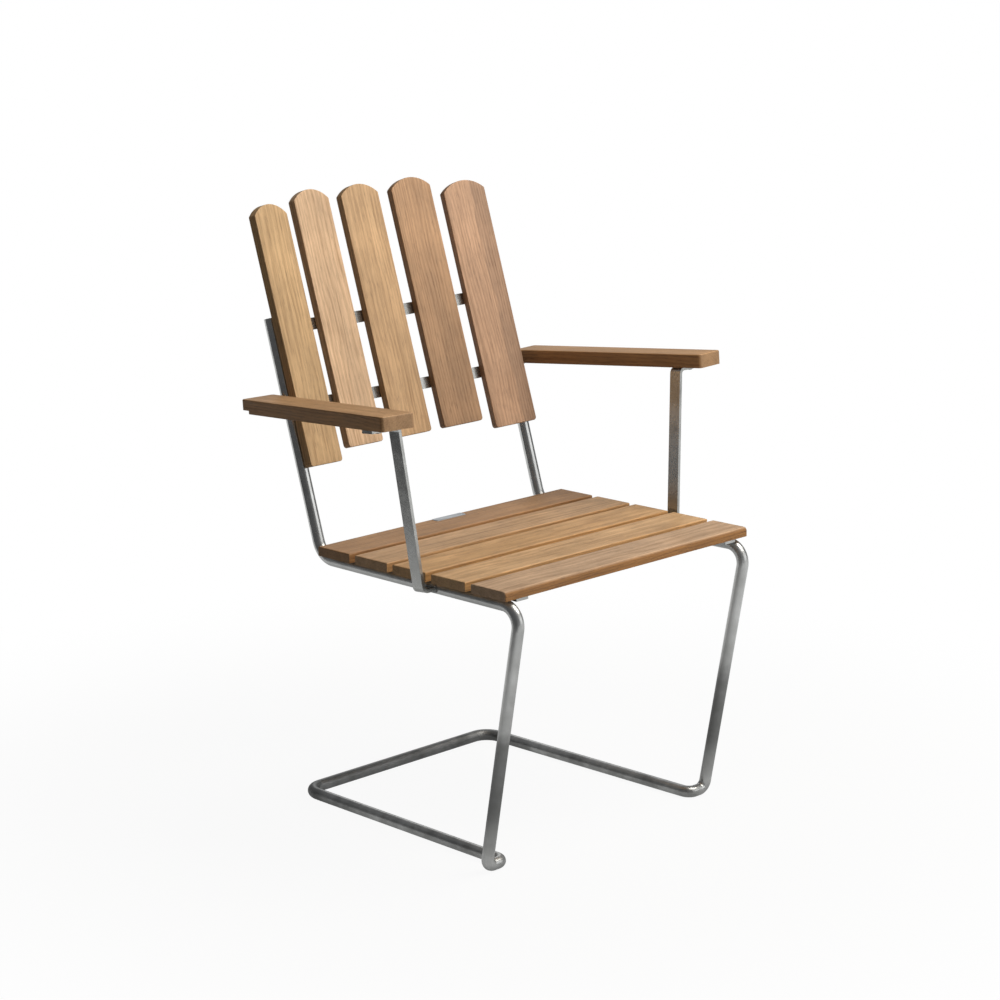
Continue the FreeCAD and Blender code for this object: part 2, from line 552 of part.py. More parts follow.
# Arms on flat-bar posts in front and flat brackets from the uprights behind.
arm_places = []
for name, sign in SIDES.items():
    foot = rail_point(sign, front_y + size["post_setback"])
    arm_frame = Placement(foot, Rotation(X_AXIS, -size["arm_slope"]))

    # The post stands off the rail, leans outwards and ends in a tab under the arm.
    top_x = size["post_reach"] + size["post_flare"]
    points = [
        Vector(sign * (bar_r + size["seat_gap"]), 0, 0),
        Vector(sign * size["post_reach"], 0, 0),
        Vector(sign * top_x, size["post_rise"], 0),
        Vector(sign * (top_x + size["post_tab"]), size["post_rise"], 0),
    ]
    body = new_body("arm_post_" + name, arm_frame * Placement(Vector(0, size["post_w"] / 2, 0), Rotation()))
    outline = new_sketch(body, "post_outline_" + name, "XZ_Plane")
    outline.addGeometry(edges_of(strip_outline(points, size["post_bend_r"], size["post_th"])))
    pad(body, "post_pad_" + name, outline, "Sizes.post_w")
    tab_screw = Vector(sign * (top_x + size["post_tab"] * 0.6), 0, size["post_rise"])
    before = body.Shape.Volume
    drill = new_sketch(body, "post_drill_" + name, "XY_Plane")
    hole_r = size["shank_d"] / 2 + size["hole_clear"]
    drill.addGeometry(Part.Circle(Vector(tab_screw.x, -size["post_w"] / 2, 0), Z_AXIS, hole_r))
    cut = body.newObject("PartDesign::Pocket", "post_hole_" + name)
    cut.Profile = drill
    cut.Reversed = True
    cut.setExpression("Length", "Sizes.post_rise + Sizes.post_th")
    doc.recompute()
    assert body.Shape.Volume < before, "post hole cuts nothing"

    # The arm's own frame starts at the middle of its front end, on its underside.
    underside = size["post_rise"] + size["post_th"] / 2
    arm_front_x = seat_half + size["arm_spread"]
    front_end = Vector(sign * arm_front_x - foot.x, -size["arm_ahead"], underside)
    board_frame = arm_frame * Placement(front_end, Rotation(Z_AXIS, sign * size["arm_toe"]))
    to_board = board_frame.inverse()
    half = size["arm_w"] / 2

    # The bracket is a flat strip from the upright's outer side, let into a rebate under the arm's rear end.
    points = frame_points(sign)
    normal = board_frame.Rotation.multVec(Z_AXIS)
    level = board_frame.multVec(Vector(0, 0, size["post_th"] / 2))
    climb = (points[6] - points[5]).normalize()
    meet = points[5] + climb * ((level - points[5]).dot(normal) / climb.dot(normal))
    root = to_board.multVec(meet)
    slant = climb.getAngle(normal)
    root_x = root.x + sign * (bar_r / math.cos(slant) + size["seat_gap"])
    outer_x = sign * (half - size["bracket_inset"])
    inner_x = -sign * half
    rebate_y = size["arm_len"] - size["rebate_len"]
    bracket_from = rebate_y + size["seat_gap"]
    bracket_to = size["arm_len"] - size["bracket_end"]
    corners = [
        Vector(outer_x, bracket_from, 0),
        Vector(outer_x, bracket_to, 0),
        Vector(inner_x, bracket_to, 0),
        Vector(root_x, root.y + size["bracket_root"] / 2, 0),
        Vector(root_x, root.y - size["bracket_root"] / 2, 0),
        Vector(inner_x, bracket_from, 0),
    ]
    body = new_body("arm_bracket_" + name, board_frame)
    outline = new_sketch(body, "bracket_outline_" + name, "XY_Plane")
    outline.addGeometry(edges_of([(a, b) for a, b in zip(corners, corners[1:] + corners[:1])]))
    pad(body, "bracket_pad_" + name, outline, "Sizes.post_th")
    middle_y = (bracket_from + bracket_to) / 2
    under_arm = outer_x - inner_x
    bracket_spots = [Vector(inner_x + share * under_arm, middle_y, 0) for share in (0.27, 0.77)]
    holes(body, "bracket_holes_" + name, "XY_Plane", bracket_spots, hole_r, "Sizes.post_th")

    # The arm: a flat board with rounded corners in plan and eased top edges, rebated under its rear end.
    body = new_body("arm_rest_" + name, board_frame)
    outline = new_sketch(body, "arm_outline_" + name, "XY_Plane")
    corners = [
        Vector(-half, 0, 0),
        Vector(half, 0, 0),
        Vector(half, size["arm_len"], 0),
        Vector(-half, size["arm_len"], 0),
    ]
    outline.addGeometry(edges_of(closed_runs(corners, [size["arm_corner_r"]] * 4)))
    board = pad(body, "arm_pad_" + name, outline, "Sizes.arm_th")

    def top_rim(edge):
        return abs(edge.CenterOfMass.z - size["arm_th"]) < 0.01

    rounding(body, "arm_edges_" + name, board, top_rim, "Sizes.arm_edge_r")
    before = body.Shape.Volume
    rebate = new_sketch(body, "arm_rebate_outline_" + name, "XY_Plane")
    aside = size["arm_w"]
    beyond = size["arm_len"] + size["arm_w"]
    corners = [
        Vector(-aside, rebate_y, 0),
        Vector(aside, rebate_y, 0),
        Vector(aside, beyond, 0),
        Vector(-aside, beyond, 0),
    ]
    rebate.addGeometry(edges_of([(a, b) for a, b in zip(corners, corners[1:] + corners[:1])]))
    cut = body.newObject("PartDesign::Pocket", "arm_rebate_" + name)
    cut.Profile = rebate
    cut.Reversed = True
    cut.setExpression("Length", "Sizes.post_th")
    doc.recompute()
    assert body.Shape.Volume < before, "arm rebate cuts nothing"
    tab_point = to_board.multVec(arm_frame.multVec(tab_screw))
    tab_spot = Vector(tab_point.x, tab_point.y, 0)
    pilot = size["shank_d"] / 2 + size["pilot_clear"]
    holes(body, "arm_pilot_" + name, "XY_Plane", [tab_spot], pilot, "Sizes.arm_bite + Sizes.pilot_depth")
    let_in = "Sizes.post_th + Sizes.arm_bite + Sizes.pilot_depth"
    holes(body, "arm_rear_pilots_" + name, "XY_Plane", bracket_spots, pilot, let_in)
    below = Vector(0, 0, -size["post_th"])
    arm_places.append(board_frame * Placement(tab_spot + below, Rotation()))
    arm_places += [board_frame * Placement(spot, Rotation()) for spot in bracket_spots]
screws("arm_screws", "Sizes.post_th", "Sizes.arm_bite", arm_places)

# Every object must have worked, and every piece must be sound, before anything is written.
doc.recompute()
for obj in doc.Objects:
    assert "Invalid" not in obj.State and "Error" not in obj.State, obj.Label + " failed"
for obj in nodes:
    assert not obj.Shape.isNull() and obj.Shape.isValid(), obj.Label + " has no sound shape"
os.makedirs("parts", exist_ok=True)
for obj in nodes:
    obj.Shape.exportStep("parts/%s.step" % obj.Label)
print(len(nodes), "pieces written")
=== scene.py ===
# %% [markdown]
# # A sprung garden armchair
# The chair has a frame of bent round bar, hot-dip galvanised, with teak slats and teak arms.
# Its measured parts are already there as CAD nodes in metres. This lesson loads them as a fixed frame,
# gives each one the finish of the real material, and models the pieces that the CAD leaves plain.

# %% Load the measured parts
import math

import bpy
from mathutils import Matrix, Vector


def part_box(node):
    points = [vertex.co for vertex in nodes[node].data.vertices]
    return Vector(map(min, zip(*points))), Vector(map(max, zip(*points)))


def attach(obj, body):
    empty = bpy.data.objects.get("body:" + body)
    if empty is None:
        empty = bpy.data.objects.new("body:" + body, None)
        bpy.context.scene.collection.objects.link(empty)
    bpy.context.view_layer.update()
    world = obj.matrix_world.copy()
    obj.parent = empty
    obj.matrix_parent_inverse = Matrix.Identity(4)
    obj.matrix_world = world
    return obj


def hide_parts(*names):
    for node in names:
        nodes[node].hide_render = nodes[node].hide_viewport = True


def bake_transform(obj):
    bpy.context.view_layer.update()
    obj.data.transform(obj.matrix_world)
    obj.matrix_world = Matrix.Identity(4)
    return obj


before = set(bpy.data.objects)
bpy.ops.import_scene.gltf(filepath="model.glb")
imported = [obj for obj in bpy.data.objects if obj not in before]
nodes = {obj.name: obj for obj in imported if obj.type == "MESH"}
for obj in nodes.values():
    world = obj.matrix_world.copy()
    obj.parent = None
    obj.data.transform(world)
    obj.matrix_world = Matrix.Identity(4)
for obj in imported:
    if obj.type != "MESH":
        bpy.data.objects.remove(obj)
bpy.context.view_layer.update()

# %% [markdown]
# ## The camera
# A photograph can be matched by eye, by moving the camera until the lines agree. Here the place, the turn
# and the lens were worked out from the chair's own straight lines and mirrored corners, so they are
# simply set. A long lens from far away keeps the two sides of the chair nearly parallel.

# %% Camera
camera_data = bpy.data.cameras.new("camera")
camera_data.sensor_width = 36.0
camera_data.lens = 101.77
camera = bpy.data.objects.new("camera", camera_data)
camera.location = (-2.9364, -2.8900, 1.4503)
camera.rotation_euler = (math.radians(76.58), 0.0, math.radians(-45.64))
bpy.context.scene.collection.objects.link(camera)
bpy.context.scene.camera = camera
bpy.context.scene.view_settings.view_transform = "Standard"
print("camera at", tuple(camera.location), "lens", camera_data.lens)

# %% [markdown]
# ## Small helpers for materials
# Colours are easiest to write as sRGB hex values, the numbers a picture editor shows, while a shader works
# with linear light. One function converts them. Another adds a node, sets its properties, and fills its
# inputs with numbers or with links, so that a whole material reads from top to bottom.

# %% Helpers for materials
def linear(hex_colour):
    """Linear RGBA of an sRGB hex colour."""
    channels = [int(hex_colour[i:i + 2], 16) / 255 for i in (1, 3, 5)]
    light = [c / 12.92 if c <= 0.04045 else ((c + 0.055) / 1.055) ** 2.4 for c in channels]
    return (*light, 1.0)


def toned(colour, factors):
    """A colour with its channels multiplied."""
    return (*[c * f for c, f in zip(colour, factors)], 1.0)


def add(tree, kind, inputs=None, **settings):
    """A node of one kind, with its settings, and its inputs filled or linked."""
    node = tree.nodes.new(kind)
    for name, value in settings.items():
        setattr(node, name, value)
    for name, value in (inputs or {}).items():
        if isinstance(value, bpy.types.NodeSocket):
            tree.links.new(value, node.inputs[name])
        else:
            node.inputs[name].default_value = value
    return node


def empty_material(name):
    """A material with only its output, and that output."""
    material = bpy.data.materials.new(name)
    material.use_nodes = True
    material.node_tree.nodes.clear()
    return material, add(material.node_tree, "ShaderNodeOutputMaterial")


def finish_with(piece, material):
    """Puts one material on all of a piece."""
    piece.data.materials.clear()
    piece.data.materials.append(material)


print("helpers ready, mid grey is", round(linear("#808080")[0], 4))

# %% [markdown]
# ## The floor
# The chair stands on a white studio floor. Real light could make it white, but that much light would bleach
# the wood. So, for the camera and for reflections in the steel, the floor shines with a strength of one, and
# a small share of real paint is left in it near the chair, which catches the shadow. In reflections it is
# dimmer under the chair, as a shaded floor is. The Light Path node tells these rays from the ones that carry
# light.

# %% Floor
SHADOW_SHARE = 0.065                        # share of real paint near the chair
SHADOW_NEAR, SHADOW_FAR = 0.45, 1.3         # metres from its middle, between which that share falls to nought
UNDER_SHADE, UNDER_NEAR = 0.45, 0.3         # what reflections lose under the chair, and how far all of it


def stage_plane(name, size, place, turn):
    """A large plane that belongs to the studio."""
    bpy.ops.object.select_all(action="DESELECT")
    bpy.ops.mesh.primitive_plane_add(size=1.0, location=place, rotation=turn)
    plane = bpy.context.object
    plane.name = name
    plane.scale = (size[0], size[1], 1.0)
    bpy.ops.object.transform_apply(location=False, rotation=False, scale=True)
    return plane


def seen_rays(tree):
    """One for camera, glossy and transmission rays, and nought for the rays that carry light."""
    path = add(tree, "ShaderNodeLightPath")
    first = add(tree, "ShaderNodeMath", {
        0: path.outputs["Is Camera Ray"], 1: path.outputs["Is Glossy Ray"]}, operation="MAXIMUM")
    both = add(tree, "ShaderNodeMath", {
        0: first.outputs[0], 1: path.outputs["Is Transmission Ray"]}, operation="MAXIMUM")
    return both.outputs[0]


# Matt white paint, rolled on: an even white with a faint soft shadow and no gloss.
floor = stage_plane("floor", (90.0, 90.0), (0.0, 0.0, -0.0005), (0.0, 0.0, 0.0))
white_floor, output = empty_material("matt_white_floor_paint")
tree = white_floor.node_tree
seen = seen_rays(tree)
painted = add(tree, "ShaderNodeBsdfDiffuse", {"Color": linear("#cfcfcd")})
spot = add(tree, "ShaderNodeTexCoord")
away = add(tree, "ShaderNodeVectorMath", {0: spot.outputs["Object"]}, operation="LENGTH")
beneath = add(tree, "ShaderNodeMapRange", {
    "Value": away.outputs["Value"], "From Min": UNDER_NEAR, "From Max": SHADOW_FAR,
    "To Min": UNDER_SHADE, "To Max": 0.0}, interpolation_type="SMOOTHSTEP")
mirrored = add(tree, "ShaderNodeLightPath")
shaded = add(tree, "ShaderNodeMath", {
    0: beneath.outputs[0], 1: mirrored.outputs["Is Glossy Ray"]}, operation="MULTIPLY")
strength = add(tree, "ShaderNodeMath", {0: 1.0, 1: shaded.outputs[0]}, operation="SUBTRACT")
glowing = add(tree, "ShaderNodeEmission", {
    "Color": linear("#ffffff"), "Strength": strength.outputs[0]})
white_share = add(tree, "ShaderNodeMapRange", {
    "Value": away.outputs["Value"], "From Min": SHADOW_NEAR, "From Max": SHADOW_FAR,
    "To Min": 1.0 - SHADOW_SHARE, "To Max": 1.0}, interpolation_type="SMOOTHSTEP")
share = add(tree, "ShaderNodeMath", {0: seen, 1: white_share.outputs[0]}, operation="MULTIPLY")
mixed = add(tree, "ShaderNodeMixShader", {
    0: share.outputs[0], 1: painted.outputs[0], 2: glowing.outputs[0]})
tree.links.new(mixed.outputs[0], output.inputs["Surface"])
finish_with(floor, white_floor)
print("floor", tuple(round(v, 1) for v in floor.dimensions), "m, paint", SHADOW_SHARE)

# %% [markdown]
# ## The panel and the room
# A dim grey panel stands close on the chair's right, where a photographer would put one, so that the sides
# turned that way fall into shade and the bars get dark edges. Grey walls stand all round. Both could be lit
# by lamps, but a weak glow is simpler and free of noise. The camera sees neither.

# %% Panel and walls
PANEL_GLOW, WALL_GLOW = 0.12, 0.2
ROOM_SIZE, ROOM_HEIGHT = 12.0, 5.0


def dim_surface(name, glow):
    """A grey that glows a little."""
    material, output = empty_material(name)
    light = add(material.node_tree, "ShaderNodeEmission", {"Color": linear("#fbfcff"), "Strength": glow})
    material.node_tree.links.new(light.outputs[0], output.inputs["Surface"])
    return material


# Pressed grey felt: a flat, dark grey with no texture, seen only in reflections.
panel = stage_plane("grey_panel", (2.4, 2.3), (-1.0, -0.05, 1.2), (0.0, math.radians(90), 0.0))
panel.visible_camera = False
finish_with(panel, dim_surface("grey_panel_felt", PANEL_GLOW))

bpy.ops.object.select_all(action="DESELECT")
bpy.ops.mesh.primitive_cube_add(
    size=1.0, location=(0.0, 0.0, ROOM_HEIGHT / 2), scale=(ROOM_SIZE, ROOM_SIZE, ROOM_HEIGHT))
walls = bpy.context.object
walls.name = "room_walls"
bpy.ops.object.mode_set(mode="EDIT")
bpy.ops.mesh.select_all(action="DESELECT")
bpy.ops.object.mode_set(mode="OBJECT")
for face in walls.data.polygons:
    face.select = face.normal.z < -0.5
bpy.ops.object.mode_set(mode="EDIT")
bpy.ops.mesh.delete(type="FACE")
bpy.ops.object.mode_set(mode="OBJECT")
walls.visible_camera = False
# Smoothed grey plaster: a slightly lighter, even grey, also seen only in reflections.
finish_with(walls, dim_surface("grey_wall_plaster", WALL_GLOW))
print("panel and", len(walls.data.polygons), "walls and ceiling")

# %% [markdown]
# ## The light
# A soft box above the front lights the wood. A wider, lower one at the chair's front left draws white lines
# down the bars, and a weak one behind lifts the back. One bare lamp could do, but its shadows would be hard.
# The world is white for the rays that are seen, and a dim room for the rest.

# %% World and lamps
ROOM_LIGHT = 0.3
world = bpy.data.worlds.new("studio_room")
bpy.context.scene.world = world
world.use_nodes = True
tree = world.node_tree
tree.nodes.clear()
room = add(tree, "ShaderNodeBackground", {"Color": linear("#fbfcff"), "Strength": ROOM_LIGHT})
white = add(tree, "ShaderNodeBackground", {"Color": linear("#ffffff"), "Strength": 1.0})
mixed = add(tree, "ShaderNodeMixShader", {0: seen_rays(tree), 1: room.outputs[0], 2: white.outputs[0]})
add(tree, "ShaderNodeOutputWorld", {"Surface": mixed.outputs[0]})


def soft_lamp(name, place, target, size, watts, colour):
    """A soft box of a width and a height that faces a point."""
    data = bpy.data.lights.new(name, "AREA")
    data.shape = "RECTANGLE"
    data.size, data.size_y = size
    data.energy = watts
    data.color = linear(colour)[:3]
    lamp = bpy.data.objects.new(name, data)
    lamp.location = place
    lamp.rotation_euler = (Vector(target) - Vector(place)).to_track_quat("-Z", "Y").to_euler()
    bpy.context.scene.collection.objects.link(lamp)
    print(name, watts, "W, size", size)


soft_lamp("front_soft_box", (0.7, -1.0, 2.25), (0.0, 0.0, 0.5), (1.2, 1.2), 42.5, "#fffaf2")
soft_lamp("side_soft_box", (1.05, -2.3, 1.05), (0.0, 0.0, 0.6), (2.4, 1.2), 13.0, "#ffffff")
soft_lamp("rear_soft_box", (2.0, 2.2, 1.35), (0.0, 0.0, 0.6), (1.2, 1.2), 4.5, "#ffffff")

# %% [markdown]
# ## Teak: the grain
# Teak is a straight-grained, oily hardwood: golden to pinkish brown, with fine dark pores drawn out along the
# board and slow bands where the growth rings are cut. A picture of wood could be wrapped round each board,
# but a solid pattern is better here, because the same grain then runs through faces, edges and ends. So each
# board gets its own mapping: x along the grain, y across the face and z through the thickness, with the heart
# of the tree some way off, so that no two boards are alike. Ring and streak widths are real millimetres.

# %% Teak grain
RING_PERIOD = 2 * math.pi / 20      # spacing of a ring wave at a scale of one, in units
RING_MM = 4.2
WANDER_MM = 90.0
STREAK_MM = 9.0
FIBRE_MM = 1.3
PORE_MM = 1.0                       # real pores are less than half as wide, so these are drawn coarser
RING_DEPTH, END_RING_DEPTH = 0.14, 0.04
STREAK_DEPTH, FIBRE_DEPTH = 0.62, 0.41


def teak_grain(tree, board, end_on, heart, slant):
    """Tone of the grain from nought to one, the fine fibres, and a mask of the pores."""
    slow = add(tree, "ShaderNodeMapping", {"Vector": board, "Scale": (0.5, 1.0, 1.0)})
    bend = add(tree, "ShaderNodeTexNoise", {
        "Vector": slow.outputs[0], "Scale": 1000 / WANDER_MM, "Detail": 1.0})
    aside = add(tree, "ShaderNodeVectorMath", {
        0: bend.outputs["Color"], 1: (0.0, 0.009, 0.009)}, operation="MULTIPLY")
    wavy = add(tree, "ShaderNodeVectorMath", {0: board, 1: aside.outputs[0]}, operation="ADD").outputs[0]
    trunk = add(tree, "ShaderNodeMapping", {
        "Vector": wavy, "Location": (0.0, heart[0], heart[1]),
        "Rotation": (0.0, math.radians(slant[0]), math.radians(slant[1])), "Scale": (0.15, 1.0, 1.0)})
    drawn_out = add(tree, "ShaderNodeMapping", {
        "Vector": wavy, "Location": (heart[0] * 9, heart[1] * 7, 0.0), "Scale": (0.03, 1.0, 1.0)})
    dashes = add(tree, "ShaderNodeMapping", {"Vector": wavy, "Scale": (0.06, 1.0, 1.0)})
    rings = add(tree, "ShaderNodeTexWave", {
        "Vector": trunk.outputs[0], "Scale": RING_PERIOD / (RING_MM / 1000), "Distortion": 7.0,
        "Detail": 3.0, "Detail Scale": 0.6}, wave_type="RINGS", rings_direction="X")
    streaks = add(tree, "ShaderNodeTexNoise", {
        "Vector": drawn_out.outputs[0], "Scale": 1000 / STREAK_MM, "Detail": 4.0, "Roughness": 0.75})
    fibres = add(tree, "ShaderNodeTexNoise", {
        "Vector": drawn_out.outputs[0], "Scale": 1000 / FIBRE_MM, "Detail": 3.0, "Roughness": 0.6})
    pores = add(tree, "ShaderNodeTexNoise", {
        "Vector": dashes.outputs[0], "Scale": 1000 / PORE_MM, "Detail": 1.0})
    pore_mask = add(tree, "ShaderNodeMapRange", {
        "Value": pores.outputs["Fac"], "From Min": 0.58, "From Max": 0.68}, interpolation_type="SMOOTHSTEP")
    depth = add(tree, "ShaderNodeMapRange", {
        "Value": end_on, "From Min": 0.5, "From Max": 0.95,
        "To Min": RING_DEPTH, "To Max": END_RING_DEPTH})
    centred = add(tree, "ShaderNodeMath", {0: rings.outputs["Fac"], 1: 0.5}, operation="SUBTRACT")
    ringed = add(tree, "ShaderNodeMath", {
        0: centred.outputs[0], 1: depth.outputs[0], 2: 0.05}, operation="MULTIPLY_ADD")
    streaked = add(tree, "ShaderNodeMath", {
        0: streaks.outputs["Fac"], 1: STREAK_DEPTH, 2: ringed.outputs[0]}, operation="MULTIPLY_ADD")
    tone = add(tree, "ShaderNodeMath", {
        0: fibres.outputs["Fac"], 1: FIBRE_DEPTH, 2: streaked.outputs[0]}, operation="MULTIPLY_ADD")
    return tone.outputs[0], fibres.outputs["Fac"], pore_mask.outputs[0]


print("teak grain: rings", RING_MM, "mm, streaks", STREAK_MM, "mm, pores", PORE_MM, "mm")

# %% [markdown]
# ## Teak: light and dark
# A board is not one tone all over. It has bands across its width where sapwood and heartwood meet, broad
# patches from weather and oil, and darker end grain, which drinks more oil. A pale line along its rounded
# edges is a painted highlight. These could be painted by hand. Here each one is a factor on the board's own
# place or normal, so the same few lines serve all twelve boards.

# %% Teak light and dark
PATCH_SHADES = (0.88, 1.10)
PORE_SHADE = 0.74
END_SHADE = 0.8
# A painted highlight runs along the rounded edges.
# How squarely a spot lies to the board's face, from nought at its edges to one, and its gain.
PAINTED_EDGE_HIGHLIGHT = ((0.70, 1.0), (0.92, 1.2), (0.995, 1.0))


def gain_along(tree, place, stops, easing):
    """A gain that changes along a place from nought to one, through stops of a place and a gain."""
    # Gains of up to two are stored halved, as greys that a ramp can show, and doubled after.
    curve = add(tree, "ShaderNodeValToRGB", {"Fac": place})
    curve.color_ramp.interpolation = easing
    for element, (position, gain) in zip((0, 1), (stops[0], stops[-1])):
        curve.color_ramp.elements[element].position = position
        curve.color_ramp.elements[element].color = (gain / 2, gain / 2, gain / 2, 1.0)
    for position, gain in stops[1:-1]:
        curve.color_ramp.elements.new(position).color = (gain / 2, gain / 2, gain / 2, 1.0)
    return add(tree, "ShaderNodeMath", {0: curve.outputs["Color"], 1: 2.0}, operation="MULTIPLY").outputs[0]


def board_shade(tree, board, normal, end_on, face, bands, lean, pore_mask):
    """How light the wood is: bands across the board, broad patches, pores, dark ends and painted edge
    highlights.
    """
    lie = add(tree, "ShaderNodeSeparateXYZ", {"Vector": board})
    wander = add(tree, "ShaderNodeTexNoise", {"Vector": board, "Scale": 9.0, "Detail": 2.0})
    leaned = add(tree, "ShaderNodeMath", {
        0: lie.outputs["X"], 1: lean, 2: lie.outputs["Y"]}, operation="MULTIPLY_ADD")
    side = add(tree, "ShaderNodeMath", {
        0: wander.outputs["Fac"], 1: 0.03, 2: leaned.outputs[0]}, operation="MULTIPLY_ADD")
    place = add(tree, "ShaderNodeMapRange", {
        "Value": side.outputs[0], "From Min": -0.025, "From Max": 0.055})
    banded = gain_along(tree, place.outputs[0], bands, "EASE")
    broad = add(tree, "ShaderNodeTexNoise", {"Vector": board, "Scale": 14.0, "Detail": 2.0})
    patches = add(tree, "ShaderNodeMapRange", {
        "Value": broad.outputs["Fac"], "From Min": 0.3, "From Max": 0.7,
        "To Min": PATCH_SHADES[0], "To Max": PATCH_SHADES[1]})
    porous = add(tree, "ShaderNodeMapRange", {"Value": pore_mask, "To Min": 1.0, "To Max": PORE_SHADE})
    end_grain = add(tree, "ShaderNodeMapRange", {
        "Value": end_on, "From Min": 0.55, "From Max": 0.95, "To Min": 1.0, "To Max": END_SHADE})
    to_face = add(tree, "ShaderNodeVectorMath", {0: normal, 1: face}, operation="DOT_PRODUCT")
    face_on = add(tree, "ShaderNodeMath", {0: to_face.outputs["Value"]}, operation="ABSOLUTE")
    # A painted highlight along the board's rounded edges.
    edge_highlight = gain_along(tree, face_on.outputs[0], PAINTED_EDGE_HIGHLIGHT, "LINEAR")
    shade = banded
    for factor in (patches.outputs[0], porous.outputs[0], end_grain.outputs[0], edge_highlight):
        shade = add(tree, "ShaderNodeMath", {0: shade, 1: factor}, operation="MULTIPLY").outputs[0]
    return shade


print("teak ends at", END_SHADE, "and pores at", PORE_SHADE, "of the face's tone")

# %% [markdown]
# ## Teak: the finish
# Oiled teak has a soft, low sheen and shows its tone through it. Paint or varnish would be one even gloss, so
# the roughness here follows the fibres, and the pores are very slightly sunk. The long edges of a board get a
# deeper colour than its faces, partly from the oil they take up and partly as painted shade.

# %% Oiled teak
DARK_WOOD = (0.65, 0.58, 0.49)      # late wood and early wood against the board's middle tone
PALE_WOOD = (1.25, 1.28, 1.32)


def oiled_teak(name, along, face, centre, middle, heart, slant, bands, lean, shade_fade, edge):
    """Oiled teak for one board: its own middle tone, bands, painted shade from end to end, and oiled, shaded
    edges.
    """
    along, face = Vector(along).normalized(), Vector(face).normalized()
    turn = Matrix((along, face.cross(along), face))
    place = -(turn @ Vector(centre))
    material, output = empty_material(name)
    tree = material.node_tree
    where = add(tree, "ShaderNodeTexCoord")
    normal = where.outputs["Normal"]
    board = add(tree, "ShaderNodeMapping", {
        "Vector": where.outputs["Object"], "Location": place, "Rotation": turn.to_euler()}).outputs[0]
    to_end = add(tree, "ShaderNodeVectorMath", {0: normal, 1: along}, operation="DOT_PRODUCT")
    end_on = add(tree, "ShaderNodeMath", {0: to_end.outputs["Value"]}, operation="ABSOLUTE").outputs[0]
    tone, fibres, pore_mask = teak_grain(tree, board, end_on, heart, slant)
    ramp = add(tree, "ShaderNodeValToRGB", {"Fac": tone})
    ramp.color_ramp.elements[0].position = 0.34
    ramp.color_ramp.elements[0].color = toned(linear(middle), DARK_WOOD)
    ramp.color_ramp.elements[1].position = 0.74
    ramp.color_ramp.elements[1].color = toned(linear(middle), PALE_WOOD)
    ramp.color_ramp.elements.new(0.55).color = linear(middle)
    shade = board_shade(tree, board, normal, end_on, face, bands, lean, pore_mask)
    ends = add(tree, "ShaderNodeSeparateXYZ", {"Vector": board})
    # Painted shade, from one end of the board to the other.
    fading = add(tree, "ShaderNodeMapRange", {
        "Value": ends.outputs["X"], "From Min": -0.2, "From Max": 0.2,
        "To Min": shade_fade[0], "To Max": shade_fade[1]}, interpolation_type="SMOOTHSTEP")
    faded = add(tree, "ShaderNodeMath", {0: shade, 1: fading.outputs[0]}, operation="MULTIPLY")
    shaded = add(tree, "ShaderNodeVectorMath", {
        0: ramp.outputs["Color"], "Scale": faded.outputs[0]}, operation="SCALE")
    to_side = add(tree, "ShaderNodeVectorMath", {0: normal, 1: face.cross(along)}, operation="DOT_PRODUCT")
    side_on = add(tree, "ShaderNodeMath", {0: to_side.outputs["Value"]}, operation="ABSOLUTE")
    # The long edges are darker, partly from oil and partly as painted shade on the side faces.
    sawn = add(tree, "ShaderNodeMapRange", {"Value": side_on.outputs[0], "From Min": 0.4, "From Max": 0.85})
    oiled_and_shaded = add(tree, "ShaderNodeVectorMath", {0: shaded.outputs[0], 1: edge}, operation="MULTIPLY")
    colour = add(tree, "ShaderNodeMix", {
        0: sawn.outputs[0], 4: shaded.outputs[0], 5: oiled_and_shaded.outputs[0]}, data_type="VECTOR")
    height = add(tree, "ShaderNodeMath", {0: pore_mask, 1: -0.7, 2: fibres}, operation="MULTIPLY_ADD")
    relief = add(tree, "ShaderNodeBump", {
        "Height": height.outputs[0], "Strength": 0.3, "Distance": 0.0004})
    roughness = add(tree, "ShaderNodeMapRange", {
        "Value": fibres, "From Min": 0.3, "From Max": 0.7, "To Min": 0.50, "To Max": 0.68})
    # Oiled teak: warm brown streaks along the board under a dull sheen that breaks up on the fibres.
    wood = add(tree, "ShaderNodeBsdfPrincipled", {
        "Base Color": colour.outputs[1], "Roughness": roughness.outputs[0],
        "Normal": relief.outputs[0], "IOR": 1.5})
    tree.links.new(wood.outputs[0], output.inputs["Surface"])
    return material


print("teak tones from", DARK_WOOD, "to", PALE_WOOD, "of a board's middle")

# %% [markdown]
# ## The seat boards
# The five seat slats lie across the chair, with their grain along x. No two boards are cut alike. One finish
# for all would look like plastic, so each has a middle tone of its own and a list of bands: places from one
# edge of the face to the other, and how light the wood is there.

# %% Teak on the seat
SEAT_FALL = math.radians(0.5)        # as in the CAD, like the other angles and corners further on
EVEN = ((0.0, 0.97), (0.45, 1.03), (1.0, 0.98))
HEARTED = ((0.0, 1.03), (0.4, 0.94), (0.7, 1.04), (1.0, 1.0))
SEAT_BOARDS = (("#b79879", EVEN), ("#c39e73", HEARTED), ("#bc9567", EVEN),
               ("#b7946e", HEARTED), ("#a37d57", EVEN))
NOSE_OIL_AND_SHADE = (0.65, 0.44, 0.18)       # a board's long edges take more oil than its faces, and are also darkened as painted shade
SEAT_EDGE_OIL_AND_SHADE = (0.95, 0.82, 0.62)
NO_SHADE_FADE = (1.0, 1.0)


def middle_of(name):
    """The middle of a node's box."""
    low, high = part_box(name)
    return (low + high) / 2


